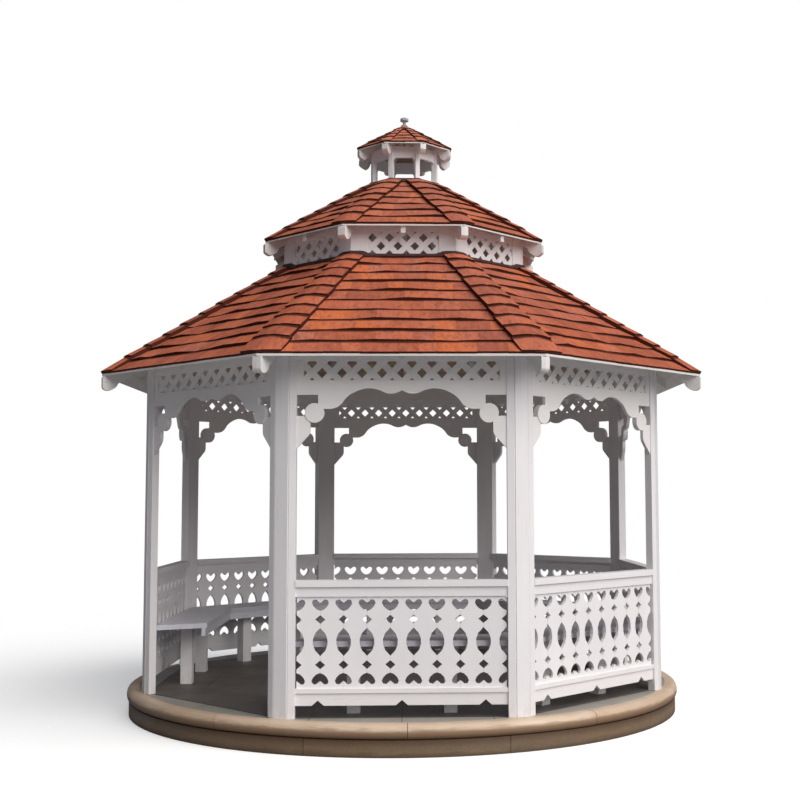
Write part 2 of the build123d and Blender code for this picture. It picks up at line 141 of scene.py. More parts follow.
floor_mesh = bpy.data.meshes.new("studio_floor")
floor_corners = [(x * FLOOR_HALF, y * FLOOR_HALF, 0.0) for x, y in ((-1, -1), (1, -1), (1, 1), (-1, 1))]
floor_mesh.from_pydata(floor_corners, [], [(0, 1, 2, 3)])
floor = new_object("studio_floor", floor_mesh)
floor_paint = bpy.data.materials.new("studio_floor")
floor_paint.use_nodes = True
tree = floor_paint.node_tree
tree.nodes.clear()
path = add_node(tree, "LightPath")
tone = mixed(tree, path["Is Camera Ray"], FLOOR_TONE, FLOOR_SEEN)
matt = add_node(tree, "BsdfDiffuse", {"Color": tone})
white = add_node(tree, "Emission")
place = add_node(tree, "TexCoord")["Object"]
distance = add_node(tree, "VectorMath", {0: place}, operation="LENGTH")["Value"]
fade = add_node(tree, "MapRange", {"Value": distance, **FLOOR_FADE}, interpolation_type="SMOOTHSTEP")
seen_far = figure(tree, "MULTIPLY", fade["Result"], path["Is Camera Ray"])
blend = add_node(tree, "MixShader", {"Fac": seen_far, 1: matt[0], 2: white[0]})
add_node(tree, "OutputMaterial", {"Surface": blend[0]})
floor_mesh.materials.append(floor_paint)


# Painted timber: posts, railings, friezes, arches, benches, rafters and the cupola are softwood
# under brushed white oil paint, a little lilac in the shade and grey where rain splashes the feet.
SIDES = 8
BAY = 2.0 * np.pi / SIDES


def new_group(name, inputs, outputs):
    """Shader node group, the sockets that bring its inputs in, and those that take its results.

    Each input is (label, kind, default). The outputs are labels: Colour is a colour, the rest numbers.
    """
    group = bpy.data.node_groups.new(name, "ShaderNodeTree")
    for label, kind, default in inputs:
        socket = group.interface.new_socket(label, in_out="INPUT", socket_type="NodeSocket" + kind)
        if default is not None:
            socket.default_value = default
    for label in outputs:
        kind = "NodeSocketColor" if label == "Colour" else "NodeSocketFloat"
        group.interface.new_socket(label, in_out="OUTPUT", socket_type=kind)
    return group, group.nodes.new("NodeGroupInput").outputs, group.nodes.new("NodeGroupOutput").inputs


def use_group(tree, group, values):
    """Outputs of a group used in a tree; each value is a socket or a constant."""
    return add_node(tree, "Group", values, node_tree=group)


def stretched_noise(tree, place, scale, detail=3.0, roughness=0.5):
    """Noise whose cells are 1/scale metres long along x, y and z."""
    scaled = add_node(tree, "Mapping", {"Vector": place, "Scale": scale})[0]
    values = {"Vector": scaled, "Scale": 1.0, "Detail": detail, "Roughness": roughness}
    return add_node(tree, "TexNoise", values)["Fac"]


def mapped(tree, value, low, high, to_low=0.0, to_high=1.0):
    """Value carried from low..high to to_low..to_high, held at both ends."""
    values = {"Value": value, "From Min": low, "From Max": high, "To Min": to_low, "To Max": to_high}
    return add_node(tree, "MapRange", values)["Result"]


# A point's place in its own bay: along the bay, out from the axis, and up. The azimuth is
# rounded to the nearest of the eight bays and the rest turned back into two lengths.
bay_place, given, result = new_group("bay_place", [("Place", "Vector", None)], ("Along", "Out", "Up"))
split = add_node(bay_place, "SeparateXYZ", {0: given["Place"]})
azimuth = figure(bay_place, "ARCTAN2", split["X"], figure(bay_place, "MULTIPLY", split["Y"], -1.0))
number = figure(bay_place, "ROUND", figure(bay_place, "DIVIDE", azimuth, BAY))
rest = figure(bay_place, "SUBTRACT", azimuth, figure(bay_place, "MULTIPLY", number, BAY))
squares = [figure(bay_place, "POWER", figure(bay_place, "ABSOLUTE", split[axis]), 2.0) for axis in "XY"]
radius = figure(bay_place, "SQRT", figure(bay_place, "ADD", *squares))
connect(bay_place, result, {
    "Along": figure(bay_place, "MULTIPLY", radius, figure(bay_place, "SINE", rest)),
    "Out": figure(bay_place, "MULTIPLY", radius, figure(bay_place, "COSINE", rest)),
    "Up": split["Z"],
})

# Joints between boards of one width: the mask is 1 on each joint and fades over its width.
board_joints, given, result = new_group(
    "board_joints",
    [("Across", "Float", 0.0), ("Board", "Float", 0.15), ("First", "Float", 0.0), ("Width", "Float", 0.002)],
    ("Joint",),
)
turn = figure(board_joints, "SUBTRACT", given["Across"], given["First"])
turn = figure(board_joints, "DIVIDE", turn, given["Board"])
away = figure(board_joints, "SUBTRACT", turn, figure(board_joints, "ROUND", turn))
away = figure(board_joints, "MULTIPLY", figure(board_joints, "ABSOLUTE", away), given["Board"])
away = figure(board_joints, "DIVIDE", away, given["Width"])
connect(board_joints, result, {"Joint": mapped(board_joints, away, 0.35, 1.0, 1.0, 0.0)})

# Brushed oil paint: uneven cover in patches, brush strokes along the grain (the place's z),
# hair cracks, and grey-brown splashes that fade out above the floor.
brushed, given, result = new_group(
    "brushed_coat",
    [("Grain Place", "Vector", None), ("Up", "Float", 1.0), ("Paint", "Color", (0.84, 0.82, 0.83, 1)),
     ("Shade", "Color", (0.74, 0.72, 0.75, 1)), ("Grime", "Color", (0.40, 0.34, 0.28, 1)),
     ("Grime Height", "Float", 0.34)],
    ("Colour", "Roughness", "Height"),
)
SPLASH_FOOT = 0.20
patches = stretched_noise(brushed, given["Grain Place"], (2.3, 2.3, 1.1), 4.0, 0.6)
strokes = stretched_noise(brushed, given["Grain Place"], (170.0, 170.0, 7.0), 3.0, 0.6)
cracks = stretched_noise(brushed, given["Grain Place"], (90.0, 90.0, 3.0), 2.0, 0.5)
knots = stretched_noise(brushed, given["Grain Place"], (26.0, 26.0, 9.0), 4.0, 0.65)
coat = mixed(brushed, mapped(brushed, patches, 0.36, 0.66), given["Paint"], given["Shade"])
coat = mixed(brushed, mapped(brushed, strokes, 0.60, 0.8, 0.0, 0.5), coat, given["Shade"])
coat = mixed(brushed, mapped(brushed, cracks, 0.71, 0.78, 0.0, 0.30), coat, given["Grime"])
splash = mapped(brushed, given["Up"], SPLASH_FOOT, given["Grime Height"], 1.0, 0.0)
dirt = figure(brushed, "MULTIPLY", splash, mapped(brushed, knots, 0.46, 0.72, 0.0, 0.45))
specks = mapped(brushed, knots, 0.70, 0.80, 0.0, 0.22)
open_cracks = figure(brushed, "MULTIPLY", mapped(brushed, cracks, 0.68, 0.78), 0.6)
connect(brushed, result, {
    "Colour": mixed(brushed, figure(brushed, "MAXIMUM", dirt, specks), coat, given["Grime"]),
    "Roughness": mapped(brushed, patches, 0.3, 0.7, 0.40, 0.58),
    "Height": figure(brushed, "SUBTRACT", strokes, open_cracks),
})


def principled(name):
    """New material with its node tree and Object coordinates."""
    material = bpy.data.materials.new(name)
    material.use_nodes = True
    tree = material.node_tree
    return material, tree, add_node(tree, "TexCoord")["Object"]


def cover(tree, colour, roughness, height, strength, distance):
    """Colour, roughness and a bump of the height, its distance in metres, on the tree's shader."""
    bump = add_node(tree, "Bump", {"Strength": strength, "Distance": distance, "Height": height})
    shader = tree.nodes["Principled BSDF"]
    connect(tree, shader.inputs, {"Base Color": colour, "Roughness": roughness, "Normal": bump[0]})


def along_grain(tree, bay, axis):
    """Vector with the grain as its z: axis is the bay direction that the fibres follow."""
    order = {"Up": ("Along", "Out", "Up"), "Along": ("Up", "Out", "Along"), "Out": ("Up", "Along", "Out")}
    return add_node(tree, "CombineXYZ", dict(enumerate(bay[label] for label in order[axis])))[0]


def white_paint(name, paint, shade, grain="Up", boards=None):
    """White oil paint on timber.

    boards is (axis, width, place of one joint, lowest, highest) where boards lie side by side
    between two heights; there the grain runs upwards if the axis is Along.
    """
    material, tree, place = principled(name)
    bay = use_group(tree, bay_place, {"Place": place})
    grain_vector = along_grain(tree, bay, grain)
    joint = None
    if boards:
        axis, width, first, lowest, highest = boards
        above = figure(tree, "GREATER_THAN", bay["Up"], lowest)
        within = figure(tree, "MULTIPLY", above, figure(tree, "LESS_THAN", bay["Up"], highest))
        values = {"Across": bay[axis], "Board": width, "First": first, "Width": 0.0022}
        joint = figure(tree, "MULTIPLY", use_group(tree, board_joints, values)["Joint"], within)
        if axis == "Along":
            grain_vector = mixed(tree, within, grain_vector, along_grain(tree, bay, "Up"))
    coat = use_group(tree, brushed, {
        "Grain Place": grain_vector, "Up": bay["Up"], "Paint": (*paint, 1.0), "Shade": (*shade, 1.0),
    })
    colour, height = coat["Colour"], coat["Height"]
    if joint is not None:
        colour = mixed(tree, figure(tree, "MULTIPLY", joint, 0.28), colour, (0.30, 0.27, 0.27, 1.0))
        height = figure(tree, "SUBTRACT", height, figure(tree, "MULTIPLY", joint, 1.6))
    cover(tree, colour, coat["Roughness"], height, 0.35, 0.0012)
    return material


FLOOR_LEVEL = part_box("floor_slab")[1].z
PAINT = (0.86, 0.835, 0.835)
PAINT_SHADE = (0.79, 0.76, 0.775)
BOARD_WIDTH = 0.1577
RAILING_BOARDS = ("Along", BOARD_WIDTH, BOARD_WIDTH / 2.0, FLOOR_LEVEL + 0.199, FLOOR_LEVEL + 0.811)
SEAT_BOARDS = ("Out", 0.0933, 1.908, FLOOR_LEVEL + 0.30, FLOOR_LEVEL + 0.52)
upright_paint = white_paint("white_paint_upright", PAINT, PAINT_SHADE)
railing_paint = white_paint("white_paint_railing", PAINT, PAINT_SHADE, "Along", RAILING_BOARDS)
# The benches' copy is greyer and bluer than the white paint: painted shade for the benches under the roof.
seat_paint_painted_shade = white_paint("white_paint_seat_painted_shade", (0.72, 0.71, 0.76), (0.62, 0.61, 0.67), "Along", SEAT_BOARDS)
finial_paint = white_paint("white_paint_finial", (0.46, 0.46, 0.49), (0.36, 0.36, 0.39))
# The friezes', arches' and wall plates' copy is brighter and yellower than the white paint: painted light
# under the eaves.
level_paint_painted_light = white_paint("white_paint_level_painted_light", (0.90, 0.875, 0.855), (0.83, 0.80, 0.785), "Along")
# The rafters' copy is darker than the white paint: painted shade for the rafters under the roof.
rafter_paint_painted_shade = white_paint("white_paint_rafters_painted_shade", (0.80, 0.77, 0.75), (0.70, 0.67, 0.66), "Out")
PAINTS = {
    "railing_": railing_paint, "bench_seat": seat_paint_painted_shade, "wall_plates": level_paint_painted_light,
    "main_rafters": rafter_paint_painted_shade, "upper_rafters": rafter_paint_painted_shade, "cupola_rafters": rafter_paint_painted_shade,
    "post_": upright_paint, "sawn_arch": level_paint_painted_light, "bench_legs": upright_paint,
    "cupola_frame": upright_paint, "finial": finial_paint,
}
for name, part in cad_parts.items():
    for start, paint in PAINTS.items():
        if name.startswith(start):
            for slot in part.material_slots:
                slot.material = paint


# Lattice friezes: planed laths in two layers, nailed across each other at 45 degrees, in a frame
# of a top rail and two stiles between the posts; the sawn arch closes the panel from below.
def finish_piece(name, points, faces, material, values=None):
    """New object from an (n, 3) array of points and lists of faces, riding on the root body.

    Each entry of values becomes an attribute of the faces, or of the points if it is that long.
    """
    mesh = bpy.data.meshes.new(name)
    mesh.from_pydata(points.tolist(), [], faces)
    for label, numbers in (values or {}).items():
        domain = "POINT" if len(numbers) == len(points) else "FACE"
        attribute = mesh.attributes.new(label, "FLOAT", domain)
        attribute.data.foreach_set("value", np.asarray(numbers, np.float32))
    mesh.materials.append(material)
    mesh.validate()
    mesh.update()
    piece = new_object(name, mesh)
    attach(piece, "root")
    return piece


def rectangle(x0, x1, z0, z1):
    """Corners of an upright rectangle of a bay, anticlockwise as seen from outside."""
    return np.array([(x0, z0), (x1, z0), (x1, z1), (x0, z1)], float)


def cut_by(outline, normal, limit):
    """Part of a convex outline where normal . point <= limit."""
    kept = []
    for first, second in zip(outline, np.roll(outline, -1, axis=0)):
        a, b = first @ normal - limit, second @ normal - limit
        if a <= 0:
            kept.append(first)
        if a * b < 0:
            kept.append(first + (second - first) * a / (a - b))
    return np.array(kept)


def laths(window, pitch, width, meet, turn):
    """Diagonal laths of one layer, each cut to the window.

    The middle line of lath k is z - turn*x = meet + k*pitch, with turn 1 or -1, and the
    window is (x0, x1, z0, z1).
    """
    half = width / 2.0 * np.sqrt(2.0)
    pieces = []
    for k in range(-20, 21):
        level = meet + k * pitch
        outline = rectangle(*window)
        for normal, limit in (((-turn, 1.0), level + half), ((turn, -1.0), -(level - half))):
            outline = cut_by(outline, np.array(normal), limit) if len(outline) > 2 else outline
        if len(outline) > 2:
            pieces.append(outline)
    return pieces


def bay_axes(bay):
    """Unit vectors out of a bay of azimuth b and along it: (sin b, -cos b, 0) and (cos b, sin b, 0)."""
    angle = bay * BAY
    sine, cosine, level = np.sin(angle), np.cos(angle), np.zeros_like(angle)
    return np.stack([sine, -cosine, level], -1), np.stack([cosine, sine, level], -1)


def sawn_pieces(boards, bays):
    """Points and faces of upright boards in the bays given.

    Each board is (outline, outer, inner, mitre): its outline in the bay's (x, z) is carried
    from the outer to the inner apothem a, P = x*along + a*out + z*k, and x shrinks with a
    where it is mitred.
    """
    points, faces, count = [], [], 0
    for bay in bays:
        out, along = bay_axes(bay)
        for outline, outer, inner, mitre in boards:
            n = len(outline)
            for apothem in (outer, inner):
                x = outline[:, :1] * (apothem / outer if mitre else 1.0)
                ring = x * along + apothem * out
                ring[:, 2] = outline[:, 1]
                points.append(ring)
            front = list(range(count, count + n))
            back = list(range(count + n, count + 2 * n))
            faces.append(front)
            faces.append(back[::-1])
            faces += [(front[i], back[i], back[(i + 1) % n], front[(i + 1) % n]) for i in range(n)]
            count += 2 * n
    return np.concatenate(points), faces


def lath_layers(window, pitch, width, meets, face, set_backs):
    """Boards of both layers of laths, each set back from the face by its own depth."""
    layers = []
    for turn, meet, set_back in zip((1.0, -1.0), meets, set_backs):
        outer = face - set_back
        outlines = laths(window, pitch, width, meet, turn)
        layers += [(outline, outer, outer - LATH_THICKNESS, False) for outline in outlines]
    return layers


LATH_THICKNESS = 0.0065
FRIEZE_OUTER = 1.992
FRIEZE_INNER = FRIEZE_OUTER - 0.034
FRIEZE_HALF = (0.672, 0.7185)
FRIEZE_HEIGHTS = (2.281, 2.414, 2.460)
FRIEZE_PITCH, FRIEZE_ROW = 0.137, 2.331
FRIEZE_LATH = 0.0467
LATH_TENON = 0.004
foot, window_top, top = (FLOOR_LEVEL + z for z in FRIEZE_HEIGHTS)
window_half, half = FRIEZE_HALF
window = (-window_half - LATH_TENON, window_half + LATH_TENON, foot, window_top + LATH_TENON)
meet = FLOOR_LEVEL + FRIEZE_ROW + FRIEZE_PITCH / 2.0
boards = [(rectangle(-half, half, window_top, top), FRIEZE_OUTER, FRIEZE_INNER, False)]
for x0, x1 in ((-half, -window_half), (window_half, half)):
    stile = rectangle(x0, x1, foot, window_top - 0.0015)
    boards.append((stile, FRIEZE_OUTER - 0.001, FRIEZE_INNER, False))
boards += lath_layers(window, FRIEZE_PITCH, FRIEZE_LATH, (meet, meet), FRIEZE_OUTER, (0.005, 0.012))
for bay in range(SIDES):
    points, faces = sawn_pieces(boards, [bay])
    panel = finish_piece(f"frieze_laths_{bay + 1}", points, faces, level_paint_painted_light)
    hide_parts(f"frieze_lattice_{bay + 1}")


# Plinth: ten honed tan stones with a rounded nose, bedded in mortar over a shadow groove and ten
# darker stones of the base course; the paving inside is laid in rows along the bays.
stain, given, result = new_group(
    "stone_grain",
    [("Place", "Vector", None), ("Up", "Float", 1.0), ("Tone", "Float", 0.5),
     ("Light", "Color", (0.56, 0.42, 0.30, 1)), ("Dark", "Color", (0.30, 0.20, 0.13, 1)),
     ("Damp And Shade", "Color", (0.16, 0.10, 0.06, 1)), ("Darkening Height", "Float", 0.18)],
    ("Colour", "Roughness", "Height"),
)
clouds = stretched_noise(stain, given["Place"], (1.3, 1.3, 6.0), 5.0, 0.6)
veins = stretched_noise(stain, given["Place"], (5.0, 5.0, 38.0), 4.0, 0.6)
grains = stretched_noise(stain, given["Place"], (240.0, 240.0, 240.0), 2.0, 0.6)
cloudy = figure(stain, "ADD", mapped(stain, clouds, 0.32, 0.70, 0.0, 0.75),
                mapped(stain, given["Tone"], 0.0, 1.0, -0.1, 0.3))
tint = mixed(stain, mapped(stain, cloudy, 0.0, 1.0), given["Light"], given["Dark"])
tint = mixed(stain, mapped(stain, veins, 0.50, 0.72, 0.0, 0.5), tint, given["Dark"])
tint = mixed(stain, mapped(stain, grains, 0.35, 0.75, 0.0, 0.22), tint, (0.60, 0.48, 0.36, 1))
# Below the given height the stone turns to the darker colour: real damp at the base course's foot, and
# painted shade on the coping's face under its nose.
darkest_below = figure(stain, "SUBTRACT", given["Darkening Height"], 0.012)
clear_above = figure(stain, "ADD", given["Darkening Height"], mapped(stain, veins, 0.3, 0.7, 0.0, 0.03))
damp_and_shade_mask = mapped(stain, given["Up"], darkest_below, clear_above, 0.85, 0.0)
connect(stain, result, {
    "Colour": mixed(stain, damp_and_shade_mask, tint, given["Damp And Shade"]),
    "Roughness": mapped(stain, clouds, 0.3, 0.7, 0.36, 0.6),
    "Height": figure(stain, "ADD", grains, figure(stain, "MULTIPLY", veins, 1.5)),
})


def attribute(tree, name):
    """Value of a mesh attribute."""
    return add_node(tree, "Attribute", attribute_name=name)["Fac"]


def stone(name, light, dark, damp_and_shade, darkening_height, flags=None, shade=None):
    """Honed sandstone; flags is (length, width) where it is paving with joints both ways.

    shade is painted shade: (height where it starts, height where it is full, its strength there).
    """
    material, tree, place = principled(name)
    bay = use_group(tree, bay_place, {"Place": place})
    grain = use_group(tree, stain, {
        "Place": place, "Up": bay["Up"], "Tone": attribute(tree, "tone"), "Light": (*light, 1.0),
        "Dark": (*dark, 1.0), "Damp And Shade": (*damp_and_shade, 1.0), "Darkening Height": darkening_height,
    })
    colour, height = grain["Colour"], grain["Height"]
    if shade:
        start, full, strength = shade
        # Painted shade: the stone darkens between the two heights towards a near-black brown.
        painted_shade = mapped(tree, bay["Up"], start, full, 0.0, strength)
        colour = mixed(tree, painted_shade, colour, (0.055, 0.024, 0.008, 1.0))
    if flags:
        ends = {"Across": bay["Along"], "Board": flags[0], "First": 0.0, "Width": 0.005}
        sides = {"Across": bay["Out"], "Board": flags[1], "First": FLOOR_APOTHEM, "Width": 0.005}
        seams = [use_group(tree, board_joints, joints)["Joint"] for joints in (ends, sides)]
        seam = figure(tree, "MAXIMUM", *seams)
        colour = mixed(tree, figure(tree, "MULTIPLY", seam, 0.8), colour, (0.05, 0.045, 0.04, 1.0))
        height = figure(tree, "SUBTRACT", height, figure(tree, "MULTIPLY", seam, 3.0))
    cover(tree, colour, grain["Roughness"], height, 0.4, 0.0009)
    return material


def stone_ring(name, profile, inner, stones, first, gap, material, seed):
    """Stones of a round course, P = (r*sin a, -r*cos a, z) at STATIONS azimuths a a stone.

    The profile runs (radius, height) from the outer foot up over the nose; the bed and the
    back, at the inner radius that belongs to each azimuth, close the section.
    """
    random = np.random.default_rng(seed)
    points, faces, tones = [], [], []
    count = 0
    stone_turn, edge = 2.0 * np.pi / stones, gap / 2.0 / profile[0][0]
    for number in range(stones):
        angle = first + np.linspace(edge, stone_turn - edge, STATIONS) + number * stone_turn
        back = inner(angle)
        slump = random.uniform(-0.0012, 0.0006)
        rows = [(np.full(STATIONS, r), z + (slump if z > 0.0 else 0.0)) for r, z in profile]
        rows += [(back, profile[-1][1] + slump), (back, profile[0][1])]
        section = np.stack([np.stack([r, np.full(STATIONS, z)], -1) for r, z in rows], 1)
        x = np.sin(angle)[:, None] * section[..., 0]
        y = -np.cos(angle)[:, None] * section[..., 0]
        points.append(np.stack([x, y, section[..., 1]], -1).reshape(-1, 3))
        m = len(rows)
        station, point = np.meshgrid(np.arange(STATIONS - 1), np.arange(m), indexing="ij")
        here, ahead, beside = station * m, (station + 1) * m, (point + 1) % m
        skin = np.stack([here + point, ahead + point, ahead + beside, here + beside], -1)
        faces += (skin.reshape(-1, 4) + count).tolist()
        faces.append([count + i for i in range(m)])
        count += STATIONS * m
        faces.append([count - m + i for i in range(m)][::-1])
        tones += [random.random()] * ((STATIONS - 1) * m + 2)
    return finish_piece(name, np.concatenate(points), faces, material, {"tone": tones})


def octagon(apothem):
    """Radius of the octagon's edge by azimuth: apothem / cos(azimuth from the bay's middle)."""
    return lambda angle: apothem / np.cos((angle + BAY / 2.0) % BAY - BAY / 2.0)


def circle(radius):
    """The same radius at every azimuth."""
    return lambda angle: np.full_like(angle, radius)


STATIONS = 13
PLINTH_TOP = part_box("plinth_coping")[1].z
PLINTH_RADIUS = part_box("plinth_coping")[1].x
COPING_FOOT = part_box("plinth_coping")[0].z - 0.008
COPING_INNER = PLINTH_RADIUS - 0.097
FLOOR_APOTHEM = 1.955
BASE_RADIUS = PLINTH_RADIUS - 0.015
BASE_INNER = 1.2
NOSE = 0.046
GROOVE_FOOT = COPING_FOOT - 0.007
STONES = 10
STONE_GAP = 0.004
FIRST_JOINT = np.radians(1.0)
FLAGS = (0.62, 0.41)
turn = np.radians(np.linspace(0.0, 90.0, 7))
nose = list(zip(PLINTH_RADIUS - NOSE * (1.0 - np.cos(turn)), PLINTH_TOP - NOSE * (1.0 - np.sin(turn))))
coping_profile = [
    (PLINTH_RADIUS - 0.016, COPING_FOOT), (PLINTH_RADIUS - 0.007, COPING_FOOT + 0.007),
    (PLINTH_RADIUS - 0.002, COPING_FOOT + 0.018), (PLINTH_RADIUS, COPING_FOOT + 0.028), *nose,
]
border_profile = [(COPING_INNER - 0.004, COPING_FOOT), (COPING_INNER - 0.004, PLINTH_TOP - 0.003),
                  (COPING_INNER - 0.006, PLINTH_TOP - 0.0015)]
base_profile = [(BASE_RADIUS, 0.0), (BASE_RADIUS, GROOVE_FOOT - 0.004),
                (BASE_RADIUS - 0.004, GROOVE_FOOT), (BASE_RADIUS - 0.022, GROOVE_FOOT)]
bed_profile = [
    (PLINTH_RADIUS - 0.037, 0.002), (PLINTH_RADIUS - 0.037, COPING_FOOT),
    (PLINTH_RADIUS - 0.024, COPING_FOOT), (PLINTH_RADIUS - 0.009, COPING_FOOT + 0.016),
    (PLINTH_RADIUS - 0.009, PLINTH_TOP - 0.040), (PLINTH_RADIUS - 0.044, PLINTH_TOP - 0.004),
]
# The coping's face is darker below its nose as painted shade: the darker colour from 43 mm under its top,
# and more painted shade towards its foot.
coping_stone = stone("coping_stone", (0.73, 0.57, 0.43), (0.49, 0.34, 0.22), (0.21, 0.113, 0.052),
                     PLINTH_TOP - 0.043, shade=(COPING_FOOT + 0.040, COPING_FOOT + 0.002, 0.62))
# The base course is painted darker at its top as shade under the coping's overhang; its foot turns damp.
base_stone = stone("base_stone", (0.195, 0.120, 0.062), (0.105, 0.061, 0.031), (0.08, 0.05, 0.03),
                   0.02, shade=(COPING_FOOT - 0.060, COPING_FOOT - 0.008, 0.75))
# The mortar bed is coloured near black: painted shade in the groove under the coping.
mortar = stone("mortar", (0.10, 0.055, 0.03), (0.06, 0.03, 0.018), (0.05, 0.03, 0.02), 0.02)
# The paving is near black: painted shade for the floor under the roof.
paving_stone_painted_shade = stone("paving_stone_painted_shade", (0.098, 0.086, 0.082), (0.052, 0.046, 0.045), (0.06, 0.05, 0.045),
                     0.0, FLAGS)
border_stone = stone("border_stone", (0.40, 0.385, 0.35), (0.27, 0.26, 0.235), (0.10, 0.09, 0.08),
                     0.0, FLAGS)
coping = stone_ring("coping_stones", coping_profile, circle(COPING_INNER), STONES, FIRST_JOINT, STONE_GAP,
                    coping_stone, 3)
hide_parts("plinth_coping")
stone_ring("paving_border", border_profile, octagon(FLOOR_APOTHEM), SIDES, BAY / 2.0, 0.003, border_stone, 6)
base = stone_ring("base_stones", base_profile, circle(BASE_INNER), STONES, FIRST_JOINT + np.pi / STONES,
                  STONE_GAP, base_stone, 4)
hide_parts("plinth_base_course")
stone_ring("mortar_bed", bed_profile, octagon(1.9), STONES, FIRST_JOINT + 0.2, 0.0, mortar, 5)
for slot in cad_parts["floor_slab"].material_slots:
    slot.material = paving_stone_painted_shade


# Roofs: three tiers of red-brown shingles nailed in courses on boards. The boards' white edge shows under
# the first course, bent cap shingles cover the hips, and the butts' uneven lines are painted dark as shade.
HALF_BAY_TAN = np.tan(BAY / 2.0)
CLERESTORY_OUTER = 0.982
CURB_OUTER = 0.284


def tier_of(node, pitch, thickness, **rest):
    """Eave of a roof tier, measured on its CAD node, with what its shingles and caps need.

    These are the apothem at the top, the number of courses, the least and greatest width and butt of a
    shingle, how far the boards lie under the CAD's plane (cover) and the shingles' heads over it
    (surface), and the caps' half widths at the eave and at the top, and their butts.
    """
    low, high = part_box(node)
    return {"eave_apothem": high.x, "eave_z": low.z + thickness, "pitch": pitch, "thickness": thickness,
            "cosine": 1.0 / np.sqrt(1.0 + pitch ** 2), **rest}


TIERS = {
    "main": tier_of(
        "main_roof", 0.69, 0.030, top_apothem=CLERESTORY_OUTER, courses=10, widths=(0.11, 0.27),
        cover=0.015, surface=-0.009, butts=(0.007, 0.025), cap_half=(0.150, 0.108), cap_butt=0.036,
    ),
    "upper": tier_of(
        "upper_roof", 0.652, 0.028, top_apothem=CURB_OUTER, courses=7, widths=(0.10, 0.25),
        cover=0.018, surface=-0.009, butts=(0.007, 0.023), cap_half=(0.104, 0.112), cap_butt=0.032,
    ),
    "cupola": tier_of(
        "cupola_roof", 0.6152, 0.022, top_apothem=0.018, courses=5, widths=(0.06, 0.13),
        cover=0.012, surface=-0.0045, butts=(0.004, 0.013), cap_half=(0.050, 0.022), cap_butt=0.017,
    ),
}


def roof_height(tier, apothem):
    """Height of a roof's plane at an apothem a: z(a) = eave z + (eave apothem - a)*pitch."""
    return tier["eave_z"] + (tier["eave_apothem"] - apothem) * tier["pitch"]


def roof_point(bay, apothem, along, lift, tier):
    """Point on a roof facet, lifted off it along its normal; all arguments are arrays.

    P = a*o + u*t + z(a)*k + lift*n, with o and t the facet's outward and along-eave directions,
    z(a) its height and n = (pitch*o + k)/sqrt(1 + pitch^2).
    """
    outward, sideways = bay_axes(bay)
    normal = (tier["pitch"] * outward + np.array([0.0, 0.0, 1.0])) * tier["cosine"]
    flat = outward * apothem[..., None] + sideways * along[..., None]
    flat[..., 2] = roof_height(tier, apothem)
    return flat + normal * lift[..., None]


def uneven(random, waves):
    """Smooth function of a length in metres, about -1 to 1: sines of the given wavelengths."""
    phases = random.uniform(0.0, 2.0 * np.pi, len(waves))
    sizes = random.uniform(0.6, 1.0, len(waves))

    def wave(x):
        terms = [size * np.sin(2.0 * np.pi * x / length + phase)
                 for size, length, phase in zip(sizes, waves, phases)]
        return sum(terms) / sizes.sum()

    return wave


OVERHANG = 0.004
SHINGLE_GAP = 0.0004
HEAD_LAP = 1.25


